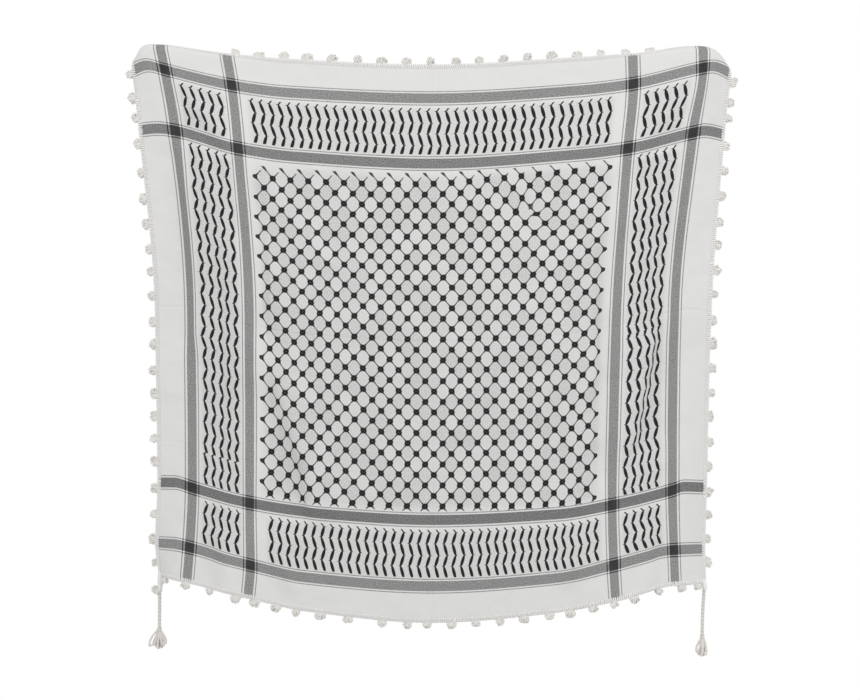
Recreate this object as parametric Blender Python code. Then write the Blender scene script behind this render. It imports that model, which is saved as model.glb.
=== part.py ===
"""Square cotton keffiyeh hanging from its two upper corners, in metres, +Z up.

The cloth faces -Y. The origin is midway between the two held corners, level with them.
Every piece is laid out on the flat cut first: "across" runs from the left edge to the right
edge and "down" from the top edge to the hem. hanging_point() then takes a flat place to its
place on the hanging cloth, so cloth, edging, trim and tassels all share one surface.
"""

import math

import bmesh
import bpy
import numpy as np

# The flat cut, to the outer side of its edging
WIDTH = 1.185
HEIGHT = 1.10
BARS_ACROSS = (0.075, 0.205, 0.980, 1.110)
BARS_DOWN = (0.070, 0.197, 0.901, 1.028)

# Sizes of the sewn pieces
SEAM = 0.0003
CLOTH_WALL = 0.0012
EDGING_WIDTH = 0.0085
EDGING_WALL = 0.0026
TRIM_REACH = 0.0155
TRIM_WALL = 0.005
TRIM_GAP = 0.0010
TRIM_CORNER_GAP = 0.015
CORD_DIAMETER = 0.007
CORD_STEP = 0.016
CORD_ROUNDING = 3
YARN_END_FACETS = (14, 10)
END_GAP = 0.0005

# The hanging shape. Each row is one level down the cloth, and each column one place across it:
# left edge, left hold, two woven bars, part way, the middle, part way, two bars, right hold and
# right edge.
HOLD_INSET_LEFT = 0.042
HOLD_INSET_RIGHT = 0.052
PLACES = (
    0.0,
    HOLD_INSET_LEFT,
    BARS_ACROSS[0],
    BARS_ACROSS[1],
    0.32,
    WIDTH / 2,
    0.865,
    BARS_ACROSS[2],
    BARS_ACROSS[3],
    WIDTH - HOLD_INSET_RIGHT,
    WIDTH,
)
LEVELS = (0.0, BARS_DOWN[0], BARS_DOWN[1], HEIGHT / 2, BARS_DOWN[2], BARS_DOWN[3], HEIGHT)
MIDDLE_Z = (-0.041, -0.109, -0.239, -0.588, -0.938, -1.068, -1.140)
SIDEWAYS = (
    (-0.610, -0.573, -0.537, -0.402, -0.282, 0.001, 0.281, 0.401, 0.541, 0.566, 0.618),
    (-0.590, -0.558, -0.523, -0.390, -0.274, 0.005, 0.285, 0.402, 0.541, 0.561, 0.600),
    (-0.577, -0.539, -0.503, -0.376, -0.263, 0.007, 0.277, 0.390, 0.521, 0.546, 0.588),
    (-0.547, -0.509, -0.474, -0.354, -0.249, 0.007, 0.262, 0.367, 0.487, 0.510, 0.563),
    (-0.543, -0.507, -0.471, -0.354, -0.249, 0.006, 0.255, 0.359, 0.482, 0.506, 0.555),
    (-0.548, -0.511, -0.476, -0.352, -0.247, 0.005, 0.256, 0.362, 0.485, 0.507, 0.552),
    (-0.542, -0.514, -0.481, -0.357, -0.251, 0.003, 0.259, 0.366, 0.487, 0.509, 0.553),
)
RISE = (
    (0.058, 0.066, 0.056, 0.027, 0.012, 0.0, 0.014, 0.025, 0.058, 0.062, 0.050),
    (0.057, 0.067, 0.058, 0.026, 0.011, 0.0, 0.015, 0.029, 0.062, 0.065, 0.052),
    (0.070, 0.073, 0.068, 0.030, 0.014, 0.0, 0.017, 0.030, 0.064, 0.069, 0.063),
    (0.070, 0.070, 0.065, 0.031, 0.014, 0.0, 0.014, 0.030, 0.060, 0.064, 0.059),
    (0.069, 0.069, 0.059, 0.032, 0.016, 0.0, 0.011, 0.028, 0.054, 0.061, 0.058),
    (0.078, 0.077, 0.071, 0.040, 0.017, 0.0, 0.016, 0.040, 0.066, 0.066, 0.065),
    (0.085, 0.078, 0.073, 0.046, 0.023, 0.0, 0.020, 0.040, 0.067, 0.067, 0.069),
)
DEPTH = (
    (0.010, 0.002, 0.000, -0.004, -0.005, -0.006, -0.005, -0.004, 0.000, 0.004, 0.014),
    (0.016, 0.004, 0.000, -0.010, -0.011, -0.012, -0.011, -0.010, 0.000, 0.006, 0.026),
    (0.020, 0.014, 0.006, -0.026, -0.028, -0.030, -0.028, -0.026, 0.008, 0.018, 0.040),
    (0.036, 0.034, 0.028, -0.030, -0.038, -0.046, -0.038, -0.030, 0.028, 0.032, 0.050),
    (0.050, 0.040, 0.030, -0.026, -0.035, -0.044, -0.035, -0.026, 0.028, 0.036, 0.064),
    (0.058, 0.040, 0.026, -0.026, -0.034, -0.042, -0.034, -0.026, 0.026, 0.038, 0.068),
    (0.072, 0.038, 0.018, -0.026, -0.032, -0.038, -0.032, -0.026, 0.020, 0.034, 0.062),
)

# Folds: across and down at the start and end of the line, half width, depth (positive is
# towards the back) and how the cloth goes over it: a "wave" comes back, a "step" stays.
FOLDS = (
    ("left hold", 0.092, 0.08, 0.098, 0.32, 0.016, 0.005, "wave"),
    ("left tension", 0.10, 0.10, 0.42, 0.44, 0.022, -0.004, "wave"),
    ("left long tension", 0.12, 0.14, 0.27, 0.62, 0.020, 0.004, "wave"),
    ("right tension", 1.09, 0.10, 0.76, 0.44, 0.022, -0.004, "wave"),
    ("right long tension", 1.06, 0.16, 0.92, 0.62, 0.020, 0.004, "wave"),
    ("left bar turn", 0.073, 0.19, 0.077, 0.66, 0.013, -0.014, "step"),
    ("left bar margin", 0.232, 0.24, 0.236, 0.62, 0.013, 0.008, "wave"),
    ("left diagonal", 0.244, 0.62, 0.350, 0.95, 0.022, -0.034, "step"),
    ("right net side", 0.935, 0.34, 0.938, 0.72, 0.018, 0.016, "step"),
    ("right bar margin", 0.956, 0.50, 0.956, 0.90, 0.014, 0.008, "wave"),
    ("right diagonal", 1.078, 0.55, 1.022, 0.83, 0.015, 0.021, "step"),
    ("left band", 0.135, 0.40, 0.150, 0.88, 0.018, 0.007, "wave"),
    ("hem left", 0.150, 0.95, 0.158, 1.14, 0.024, -0.006, "wave"),
    ("hem left inner", 0.262, 1.00, 0.272, 1.16, 0.024, 0.009, "wave"),
    ("hem right inner", 0.885, 0.99, 0.880, 1.16, 0.024, 0.008, "wave"),
    ("hem right", 1.045, 0.94, 1.050, 1.14, 0.024, -0.006, "wave"),
)
FOLD_FADE = 0.07
STEP_FADE = 0.12
STEEPEST = 0.2

# The upper corners curl backwards over the line through these flat places.
CURL_LINES = (
    ("left top", 0.168, 0.000, 0.042, 0.010),
    ("left corner", 0.042, 0.010, 0.000, 0.050),
    ("right corner", WIDTH, 0.056, WIDTH - 0.055, 0.014),
    ("right top", WIDTH - 0.055, 0.014, WIDTH - 0.178, 0.000),
)
CURL_RADIUS = 0.012
CURL_LIMIT = math.radians(176)
CURL_BLEND = 0.012
CURL_SPAN = (-0.4, 0.1)
CURL_PROBE = 0.004

# Where the grid lines of the cloth run: the end of each stretch and its number of steps
STRETCHES_ACROSS = (
    (TRIM_CORNER_GAP, 2),
    (0.060, 6),
    (0.205, 8),
    (0.350, 7),
    (0.835, 9),
    (0.980, 7),
    (1.125, 8),
    (WIDTH - TRIM_CORNER_GAP, 6),
    (WIDTH, 2),
)
STRETCHES_DOWN = (
    (TRIM_CORNER_GAP, 2),
    (0.092, 11),
    (0.197, 5),
    (0.901, 16),
    (HEIGHT - TRIM_CORNER_GAP, 6),
    (HEIGHT, 2),
)
LEAST_STEP = 0.002
BORDER_LINES = 3
SHARP_ANGLE = math.radians(50)
FACING_PROBE = 0.0025
SURVEY_STEP = 0.005
SURVEY_MARGIN = 0.025
SURVEY_END = 1.001

# Tassels: corner, flat place of the corner, how far below it the cord starts, how far the cord
# then leans sideways and towards the back, its length, and half sizes of the loose yarn end.
TASSELS = (
    ("lower_left", 0.0035, HEIGHT, 0.0025, -0.001, 0.000, 0.104, (0.017, 0.008, 0.018)),
    ("lower_right", WIDTH - 0.0035, HEIGHT, 0.0025, -0.005, 0.000, 0.102, (0.012, 0.008, 0.019)),
    ("upper_left", 0.004, 0.0, 0.0075, 0.008, 0.006, 0.098, (0.012, 0.008, 0.018)),
    ("upper_right", WIDTH - 0.004, 0.0, 0.0075, -0.008, 0.006, 0.098, (0.012, 0.008, 0.018)),
)


def smooth_curve(x, knots, values):
    """A curve through the knots that doesn't overshoot between them, straight beyond its ends."""
    knots, values = np.asarray(knots, float), np.asarray(values, float)
    step = np.diff(knots)
    rate = np.diff(values) / step
    turn = rate[:-1] * rate[1:]
    mean = 2 * turn / np.where(turn > 0, rate[:-1] + rate[1:], 1)
    slope = np.concatenate([rate[:1], np.where(turn > 0, mean, 0), rate[-1:]])
    i = np.clip(np.searchsorted(knots, x) - 1, 0, len(step) - 1)
    t = (x - knots[i]) / step[i]
    inside = np.clip(t, 0, 1)
    keep = (1 + 2 * inside) * (1 - inside) ** 2
    value = keep * values[i] + (1 - keep) * values[i + 1]
    value += step[i] * inside * (1 - inside) ** 2 * slope[i]
    value -= step[i] * inside**2 * (1 - inside) * slope[i + 1]
    return value + (t - inside) * step[i] * np.where(t < 0, slope[0], slope[-1])


def by_level(down, table):
    """Each column of a hanging table, read at every height in down."""
    return np.stack([smooth_curve(down, LEVELS, column) for column in zip(*table)], axis=1)


def fold_depth(across, down):
    total = np.zeros_like(across)
    for _, a0, d0, a1, d1, half_width, depth, way in FOLDS:
        length = math.hypot(a1 - a0, d1 - d0)
        along_a, along_d = (a1 - a0) / length, (d1 - d0) / length
        along = (across - a0) * along_a + (down - d0) * along_d
        off = (across - a0) * along_d - (down - d0) * along_a
        ease = np.clip(np.minimum(along, length - along) / FOLD_FADE, 0, 1)
        ease = ease * ease * (3 - 2 * ease)
        if way == "step":
            total += ease * depth * 0.5 * np.tanh(off / half_width) * np.exp(-np.abs(off) / STEP_FADE)
        else:
            total += ease * depth * np.exp(-((off / half_width) ** 2))
    return total


def survey():
    """Points of the uncurled hanging cloth on an even flat grid, as rows down of places across."""
    across = np.arange(-SURVEY_MARGIN, WIDTH + SURVEY_MARGIN + SURVEY_STEP, SURVEY_STEP)
    down = np.arange(-SURVEY_MARGIN, HEIGHT + SURVEY_MARGIN + SURVEY_STEP, SURVEY_STEP)
    points = np.zeros((len(down), len(across), 3))
    folds = fold_depth(*np.meshgrid(across, down))
    sideways, rise, depth = (by_level(down, table) for table in (SIDEWAYS, RISE, DEPTH))
    middle = smooth_curve(down, LEVELS, MIDDLE_Z)
    for row in range(len(down)):
        y = smooth_curve(across, PLACES, depth[row]) + folds[row]
        foreshortened = np.sqrt(np.clip(1 - np.gradient(y, across) ** 2, STEEPEST, 1))
        travel = np.concatenate([[0], np.cumsum((foreshortened[1:] + foreshortened[:-1]) / 2)])
        at_places = np.interp(PLACES, across, travel)
        points[row, :, 0] = smooth_curve(travel, at_places, sideways[row])
        points[row, :, 1] = y
        points[row, :, 2] = middle[row] + smooth_curve(across, PLACES, rise[row])
    return points


SURVEY = survey()


def uncurled(across, down):
    """Places on the cloth before its corners curl, read between the survey's points."""
    column = np.clip((across + SURVEY_MARGIN) / SURVEY_STEP, 0, SURVEY.shape[1] - SURVEY_END)
    row = np.clip((down + SURVEY_MARGIN) / SURVEY_STEP, 0, SURVEY.shape[0] - SURVEY_END)
    c, r = column.astype(int), row.astype(int)
    u, v = (column - c)[..., None], (row - r)[..., None]
    above = SURVEY[r, c] * (1 - u) + SURVEY[r, c + 1] * u
    below = SURVEY[r + 1, c] * (1 - u) + SURVEY[r + 1, c + 1] * u
    return above * (1 - v) + below * v


def past_curl(across, down):
    """How far past the nearest curl a flat place is, and the flat direction straight over it."""
    away_a, away_d, total = 0, 0, 0
    for _, a0, d0, a1, d1 in CURL_LINES:
        length = math.hypot(a1 - a0, d1 - d0)
        out_a, out_d = -(d1 - d0) / length, (a1 - a0) / length
        off = (across - a0) * out_a + (down - d0) * out_d
        weight = np.exp(np.clip(off, *CURL_SPAN) / CURL_BLEND)
        away_a, away_d, total = away_a + weight * out_a, away_d + weight * out_d, total + weight
    reach = CURL_BLEND * np.log(total) + CURL_RADIUS * math.pi / 2
    size = np.hypot(away_a, away_d)
    return reach, away_a / size, away_d / size


def unit(vectors):
    return vectors / np.linalg.norm(vectors, axis=-1, keepdims=True)


def hanging_point(across, down):
    """Takes flat places to places on the hanging cloth, curled corners included."""
    across, down = np.broadcast_arrays(np.asarray(across, float), np.asarray(down, float))
    reach, away_a, away_d = past_curl(across, down)
    reach = np.maximum(reach, 0)
    foot_a, foot_d = across - reach * away_a, down - reach * away_d
    foot = uncurled(foot_a, foot_d)
    near_a, near_d = CURL_PROBE * away_a, CURL_PROBE * away_d
    ahead = unit(uncurled(foot_a + near_a, foot_d + near_d) - foot)
    aside = uncurled(foot_a - near_d, foot_d + near_a) - foot
    back = unit(np.cross(ahead, aside))
    back *= np.sign(back[..., 1:2])
    angle = np.minimum(reach / CURL_RADIUS, CURL_LIMIT)
    straight = reach - angle * CURL_RADIUS
    forward = CURL_RADIUS * np.sin(angle) + straight * np.cos(angle)
    behind = CURL_RADIUS * (1 - np.cos(angle)) + straight * np.sin(angle)
    return foot + forward[..., None] * ahead + behind[..., None] * back


def grid_lines(stretches, low, high):
    """The cloth's grid lines between low and high, with those two as the first and last."""
    lines, start = [0.0], 0.0
    for end, steps in stretches:
        lines += list(np.linspace(start, end, steps + 1)[1:])
        start = end
    inside = [x for x in lines if low + LEAST_STEP < x < high - LEAST_STEP]
    return np.array([low, *inside, high])


def material(name, colour, roughness):
    found = bpy.data.materials.new(name)
    found.use_nodes = True
    shader = found.node_tree.nodes["Principled BSDF"]
    shader.inputs["Base Color"].default_value = (*colour, 1)
    shader.inputs["Roughness"].default_value = roughness
    shader.inputs["Metallic"].default_value = 0
    found.diffuse_color = (*colour, 1)
    return found


def add(collection, name, data, look):
    piece = bpy.data.objects.new(name, data)
    data.materials.append(look)
    collection.objects.link(piece)
    return piece


def facing(across, down):
    """The hanging cloth's own direction at flat places, from its face towards its back."""
    near = FACING_PROBE
    aside = hanging_point(across + near, down) - hanging_point(across - near, down)
    below = hanging_point(across, down + near) - hanging_point(across, down - near)
    return unit(np.cross(below, aside))


def patch(collection, name, across, down, wall, look):
    """A wall of cloth over the flat patch between the given grid lines: a grid drawn out to two sides."""
    shape = bmesh.new()
    columns, rows = len(across) - 1, len(down) - 1
    bmesh.ops.create_grid(shape, x_segments=columns, y_segments=rows, size=0.5)
    drawn = bmesh.ops.extrude_face_region(shape, geom=shape.faces[:], use_keep_orig=True)
    back = {item for item in drawn["geom"] if isinstance(item, bmesh.types.BMVert)}
    flat = np.meshgrid(across, down)
    middle, outward = hanging_point(*flat), facing(*flat)
    for vertex in shape.verts:
        column = round((vertex.co.x + 0.5) * columns)
        row = round((0.5 - vertex.co.y) * rows)
        side = wall / 2 if vertex in back else -wall / 2
        vertex.co = middle[row, column] + side * outward[row, column]
    bmesh.ops.recalc_face_normals(shape, faces=shape.faces[:])
    mesh = bpy.data.meshes.new(name)
    shape.to_mesh(mesh)
    shape.free()
    mesh.shade_smooth()
    mesh.set_sharp_from_angle(angle=SHARP_ANGLE)
    return add(collection, name, mesh, look)


def make_cloth(collection, look):
    across = grid_lines(STRETCHES_ACROSS, EDGING_WIDTH, WIDTH - EDGING_WIDTH)
    down = grid_lines(STRETCHES_DOWN, EDGING_WIDTH, HEIGHT - EDGING_WIDTH)
    patch(collection, "cloth", across, down, CLOTH_WALL, look)


def make_borders(collection, name, inner, outer, corner_gap, wall, look):
    """Four strips round the cut, from inner to outer beyond its edge; the long pair has the corners."""
    across = grid_lines(STRETCHES_ACROSS, corner_gap, WIDTH - corner_gap)
    side_low = max(corner_gap, -inner + SEAM)
    down = grid_lines(STRETCHES_DOWN, side_low, HEIGHT - side_low)
    beyond = np.linspace(inner, outer, BORDER_LINES)
    patch(collection, name + "_top", across, -beyond[::-1], wall, look)
    patch(collection, name + "_bottom", across, HEIGHT + beyond, wall, look)
    patch(collection, name + "_left", -beyond[::-1], down, wall, look)
    patch(collection, name + "_right", WIDTH + beyond, down, wall, look)


def make_cord(collection, name, points, look):
    curve = bpy.data.curves.new(name, "CURVE")
    curve.dimensions = "3D"
    curve.bevel_depth = CORD_DIAMETER / 2
    curve.bevel_resolution = CORD_ROUNDING
    curve.use_fill_caps = True
    spline = curve.splines.new("POLY")
    spline.points.add(len(points) - 1)
    for place, point in zip(spline.points, points):
        place.co = (*point, 1)
    add(collection, name, curve, look)


def make_tassel(collection, corner, across, down, below, sway, swing, length, half_sizes, look):
    """A cord that hangs from the corner's underside, with its loose yarn end below it."""
    top = hanging_point(across, down) - np.array([0, 0, below])
    steps = round(length / CORD_STEP)
    fall = np.linspace(0, 1, steps + 1)
    lean = 1 - (1 - fall) ** 2
    drop = math.sqrt(length**2 - sway**2 - swing**2)
    points = top + np.stack([sway * lean, swing * lean, -drop * fall], axis=1)
    make_cord(collection, f"tassel_cord_{corner}", points, look)
    shape = bmesh.new()
    around, along = YARN_END_FACETS
    bmesh.ops.create_uvsphere(shape, u_segments=around, v_segments=along, radius=1)
    bmesh.ops.scale(shape, verts=shape.verts, vec=half_sizes)
    mesh = bpy.data.meshes.new(f"tassel_{corner}")
    shape.to_mesh(mesh)
    shape.free()
    mesh.shade_smooth()
    end = add(collection, f"tassel_{corner}", mesh, look)
    end.location = points[-1] - np.array([0, 0, half_sizes[2] + END_GAP])


def main():
    for old in list(bpy.data.objects):
        bpy.data.objects.remove(old)
    collection = bpy.data.collections.new("keffiyeh")
    bpy.context.scene.collection.children.link(collection)
    cotton = material("Woven cotton", (0.62, 0.62, 0.61), 0.9)
    edging = material("Edging yarn", (0.72, 0.71, 0.68), 0.9)
    tufts = material("Tuft yarn", (0.66, 0.64, 0.61), 0.95)
    cord = material("Tassel cord", (0.62, 0.59, 0.55), 0.95)
    make_cloth(collection, cotton)
    make_borders(collection, "edging", SEAM - EDGING_WIDTH, 0.0, 0.0, EDGING_WALL, edging)
    make_borders(collection, "bobbles", TRIM_GAP, TRIM_REACH, TRIM_CORNER_GAP, TRIM_WALL, tufts)
    for tassel in TASSELS:
        make_tassel(collection, *tassel, cord)


main()
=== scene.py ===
"""Square cotton keffiyeh hanging from its two upper corners, in the part's frame: metres, +Z up.

Everything is laid out on the flat cut first, as the part's solids are: "across" runs from the
left edge to the right edge and "down" from the top edge to the hem. hanging_point() takes a flat
place to its place on the hanging cloth. The weave is drawn by math nodes in flat millimetres.
"""

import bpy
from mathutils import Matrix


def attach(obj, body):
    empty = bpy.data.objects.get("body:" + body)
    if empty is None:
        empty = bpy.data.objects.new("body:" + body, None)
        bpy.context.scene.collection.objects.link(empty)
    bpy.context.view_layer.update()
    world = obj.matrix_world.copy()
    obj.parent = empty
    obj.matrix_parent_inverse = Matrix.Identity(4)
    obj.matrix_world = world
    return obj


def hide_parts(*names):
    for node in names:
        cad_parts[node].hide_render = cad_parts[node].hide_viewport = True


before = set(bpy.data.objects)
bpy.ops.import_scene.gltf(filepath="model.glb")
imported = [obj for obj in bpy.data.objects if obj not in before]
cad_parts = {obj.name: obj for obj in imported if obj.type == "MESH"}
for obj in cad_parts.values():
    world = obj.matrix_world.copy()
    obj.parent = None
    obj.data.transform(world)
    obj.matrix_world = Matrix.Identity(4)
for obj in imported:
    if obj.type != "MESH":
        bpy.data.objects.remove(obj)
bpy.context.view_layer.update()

import math

import bpy
import numpy as np

# The flat cut, to the outer side of its edging, as in the part
WIDTH = 1.185
HEIGHT = 1.10
BARS_ACROSS = (0.075, 0.205, 0.980, 1.110)
BARS_DOWN = (0.070, 0.197, 0.901, 1.028)
CORD_STEP = 0.016

# The hanging shape, as in the part. Each row is one level down the cloth, and each column one
# place across it: left edge, left hold, two woven bars, part way, the middle, part way, two bars,
# right hold and right edge.
HOLD_INSET_LEFT = 0.042
HOLD_INSET_RIGHT = 0.052
PLACES = (
    0.0,
    HOLD_INSET_LEFT,
    BARS_ACROSS[0],
    BARS_ACROSS[1],
    0.32,
    WIDTH / 2,
    0.865,
    BARS_ACROSS[2],
    BARS_ACROSS[3],
    WIDTH - HOLD_INSET_RIGHT,
    WIDTH,
)
LEVELS = (0.0, BARS_DOWN[0], BARS_DOWN[1], HEIGHT / 2, BARS_DOWN[2], BARS_DOWN[3], HEIGHT)
MIDDLE_Z = (-0.041, -0.109, -0.239, -0.588, -0.938, -1.068, -1.140)
SIDEWAYS = (
    (-0.610, -0.573, -0.537, -0.402, -0.282, 0.001, 0.281, 0.401, 0.541, 0.566, 0.618),
    (-0.590, -0.558, -0.523, -0.390, -0.274, 0.005, 0.285, 0.402, 0.541, 0.561, 0.600),
    (-0.577, -0.539, -0.503, -0.376, -0.263, 0.007, 0.277, 0.390, 0.521, 0.546, 0.588),
    (-0.547, -0.509, -0.474, -0.354, -0.249, 0.007, 0.262, 0.367, 0.487, 0.510, 0.563),
    (-0.543, -0.507, -0.471, -0.354, -0.249, 0.006, 0.255, 0.359, 0.482, 0.506, 0.555),
    (-0.548, -0.511, -0.476, -0.352, -0.247, 0.005, 0.256, 0.362, 0.485, 0.507, 0.552),
    (-0.542, -0.514, -0.481, -0.357, -0.251, 0.003, 0.259, 0.366, 0.487, 0.509, 0.553),
)
RISE = (
    (0.058, 0.066, 0.056, 0.027, 0.012, 0.0, 0.014, 0.025, 0.058, 0.062, 0.050),
    (0.057, 0.067, 0.058, 0.026, 0.011, 0.0, 0.015, 0.029, 0.062, 0.065, 0.052),
    (0.070, 0.073, 0.068, 0.030, 0.014, 0.0, 0.017, 0.030, 0.064, 0.069, 0.063),
    (0.070, 0.070, 0.065, 0.031, 0.014, 0.0, 0.014, 0.030, 0.060, 0.064, 0.059),
    (0.069, 0.069, 0.059, 0.032, 0.016, 0.0, 0.011, 0.028, 0.054, 0.061, 0.058),
    (0.078, 0.077, 0.071, 0.040, 0.017, 0.0, 0.016, 0.040, 0.066, 0.066, 0.065),
    (0.085, 0.078, 0.073, 0.046, 0.023, 0.0, 0.020, 0.040, 0.067, 0.067, 0.069),
)
DEPTH = (
    (0.010, 0.002, 0.000, -0.004, -0.005, -0.006, -0.005, -0.004, 0.000, 0.004, 0.014),
    (0.016, 0.004, 0.000, -0.010, -0.011, -0.012, -0.011, -0.010, 0.000, 0.006, 0.026),
    (0.020, 0.014, 0.006, -0.026, -0.028, -0.030, -0.028, -0.026, 0.008, 0.018, 0.040),
    (0.036, 0.034, 0.028, -0.030, -0.038, -0.046, -0.038, -0.030, 0.028, 0.032, 0.050),
    (0.050, 0.040, 0.030, -0.026, -0.035, -0.044, -0.035, -0.026, 0.028, 0.036, 0.064),
    (0.058, 0.040, 0.026, -0.026, -0.034, -0.042, -0.034, -0.026, 0.026, 0.038, 0.068),
    (0.072, 0.038, 0.018, -0.026, -0.032, -0.038, -0.032, -0.026, 0.020, 0.034, 0.062),
)

# Folds: across and down at the start and end of the line, half width, depth (positive is
# towards the back) and how the cloth goes over it: a "wave" comes back, a "step" stays.
FOLDS = (
    ("left hold", 0.092, 0.08, 0.098, 0.32, 0.016, 0.005, "wave"),
    ("left tension", 0.10, 0.10, 0.42, 0.44, 0.022, -0.004, "wave"),
    ("left long tension", 0.12, 0.14, 0.27, 0.62, 0.020, 0.004, "wave"),
    ("right tension", 1.09, 0.10, 0.76, 0.44, 0.022, -0.004, "wave"),
    ("right long tension", 1.06, 0.16, 0.92, 0.62, 0.020, 0.004, "wave"),
    ("left bar turn", 0.073, 0.19, 0.077, 0.66, 0.013, -0.014, "step"),
    ("left bar margin", 0.232, 0.24, 0.236, 0.62, 0.013, 0.008, "wave"),
    ("left diagonal", 0.244, 0.62, 0.350, 0.95, 0.022, -0.034, "step"),
    ("right net side", 0.935, 0.34, 0.938, 0.72, 0.018, 0.016, "step"),
    ("right bar margin", 0.956, 0.50, 0.956, 0.90, 0.014, 0.008, "wave"),
    ("right diagonal", 1.078, 0.55, 1.022, 0.83, 0.015, 0.021, "step"),
    ("left band", 0.135, 0.40, 0.150, 0.88, 0.022, 0.003, "wave"),
    ("hem left", 0.150, 0.95, 0.158, 1.14, 0.024, -0.006, "wave"),
    ("hem left inner", 0.262, 1.00, 0.272, 1.16, 0.024, 0.009, "wave"),
    ("hem right inner", 0.885, 0.99, 0.880, 1.16, 0.024, 0.008, "wave"),
    ("hem right", 1.045, 0.94, 1.050, 1.14, 0.024, -0.006, "wave"),
)
FOLD_FADE = 0.07
STEP_FADE = 0.12
STEEPEST = 0.2

# The upper corners curl backwards over the line through these flat places.
CURL_LINES = (
    ("left top", 0.168, 0.000, 0.042, 0.010),
    ("left corner", 0.042, 0.010, 0.000, 0.050),
    ("right corner", WIDTH, 0.056, WIDTH - 0.055, 0.014),
    ("right top", WIDTH - 0.055, 0.014, WIDTH - 0.178, 0.000),
)
CURL_RADIUS = 0.012
CURL_LIMIT = math.radians(176)
CURL_BLEND = 0.012
CURL_SPAN = (-0.4, 0.1)
CURL_PROBE = 0.004
FACING_PROBE = 0.0025
SURVEY_STEP = 0.0025
SURVEY_MARGIN = 0.025
SURVEY_END = 1.001

# Tassels: corner, flat place of the corner, how far below it the cord starts, how far the cord
# then leans sideways and towards the back, and its length.
TASSELS = (
    ("lower_left", 0.0035, HEIGHT, 0.0025, -0.001, 0.000, 0.104),
    ("lower_right", WIDTH - 0.0035, HEIGHT, 0.0025, -0.005, 0.000, 0.102),
    ("upper_left", 0.004, 0.0, 0.0075, 0.008, 0.006, 0.098),
    ("upper_right", WIDTH - 0.004, 0.0, 0.0075, -0.008, 0.006, 0.098),
)
# Yarn loops of each loose end: sideways reach, drop and turn about the cord, in metres and turns
END_LOOPS = {
    "lower_left": (
        (-0.018, 0.035, 0.52),
        (-0.012, 0.033, 0.30),
        (-0.007, 0.037, 0.10),
        (-0.003, 0.040, 0.75),
        (0.001, 0.039, 0.40),
        (0.005, 0.038, 0.15),
        (0.009, 0.034, 0.60),
        (0.013, 0.030, 0.95),
        (0.002, 0.030, 0.45),
        (0.006, 0.027, 0.20),
    ),
    "lower_right": (
        (-0.010, 0.034, 0.45),
        (-0.006, 0.038, 0.20),
        (-0.002, 0.040, 0.80),
        (0.002, 0.040, 0.05),
        (0.006, 0.038, 0.60),
        (0.009, 0.032, 0.30),
        (0.000, 0.028, 0.90),
    ),
    "upper_left": (
        (-0.009, 0.034, 0.50),
        (-0.005, 0.038, 0.25),
        (0.000, 0.037, 0.70),
        (0.004, 0.038, 0.10),
        (0.009, 0.032, 0.00),
        (0.001, 0.027, 0.40),
    ),
    "upper_right": (
        (-0.009, 0.032, 0.45),
        (-0.004, 0.038, 0.70),
        (0.000, 0.036, 0.95),
        (0.004, 0.037, 0.20),
        (0.009, 0.034, 0.05),
        (-0.001, 0.027, 0.90),
    ),
}

# The corner drawn down over each lower cord: the cord, how far, and its first and last radius
NECKS = {"left": (TASSELS[0], 0.030, 0.0080, 0.0046), "right": (TASSELS[1], 0.010, 0.0050, 0.0046)}

# Tufts along each side: the flat place of the first, then the gaps to the next ones
TUFT_GAPS = {
    "left": (
        0.040,
        (0.036, 0.051, 0.044, 0.053, 0.057, 0.052, 0.051, 0.051, 0.045, 0.049, 0.052)
        + (0.045, 0.052, 0.046, 0.045, 0.045, 0.045, 0.054, 0.053, 0.054, 0.053, 0.048),
    ),
    "right": (
        0.045,
        (0.040, 0.045, 0.034, 0.055, 0.049, 0.050, 0.052, 0.046, 0.050, 0.048, 0.053)
        + (0.046, 0.050, 0.049, 0.047, 0.052, 0.048, 0.051, 0.047, 0.050, 0.049, 0.046),
    ),
    "top": (
        0.034,
        (0.044, 0.048, 0.048, 0.047, 0.045, 0.048, 0.046, 0.047, 0.048, 0.046, 0.047)
        + (0.046, 0.048, 0.045, 0.047, 0.047, 0.046, 0.048, 0.046, 0.047, 0.046, 0.047, 0.046, 0.045),
    ),
    "bottom": (
        0.022,
        (0.050, 0.051, 0.057, 0.040, 0.044, 0.044, 0.051, 0.059, 0.072, 0.053, 0.042)
        + (0.051, 0.051, 0.049, 0.051, 0.053, 0.044, 0.049, 0.044, 0.042, 0.055, 0.051, 0.040),
    ),
}

TUFTS_STAND = (0.19, 1.02)
UPRIGHT = np.array([0.0, 0.0, 0.7])
FALLEN = np.array([0.0, 0.8, -0.6])

# Yarn sizes: radius, and how far apart or how wide it is laid
PLY_RADIUS = 0.0021
PLY_OFFSET = 0.00175
PLY_PITCH = 0.0145
LOOP_RADIUS = 0.0021
BINDING_RADIUS = 0.0011
BINDING_REACH = 0.0036
STITCH_RADIUS = 0.0016
STITCH_PITCH = 0.0042
STITCH_REACH = 0.0036
RUNNING_RADIUS = 0.00135
TUFT_YARN_RADIUS = 0.0014
SHELL_INSET = 0.0045
SHELL_WALL = 0.0009

# The woven layout, in flat millimetres
BAR_HALF_ACROSS = 9.0
BAR_HALF_DOWN = 9.8
PIN_OFFSET = 13.4
PIN_HALF = 0.95
NET_MIDDLE = (592.5, 525.5)
NET_PITCH = (17.95, 20.5)
NET_ROWS = (-14, 17)
NET_COLUMNS = (-20, 19)
NET_HALF = 350
FLAW = (789.0, 297.0)
# How far the net wanders from its even layout: to the left on its left half and near its top,
# down towards its upper left corner, up on its right side, and up all over
WANDER_LEFT = 12
WANDER_TOP = 5.5
WANDER_DOWN = 9
WANDER_UP = 5
WANDER_ALL = 0.8
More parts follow.
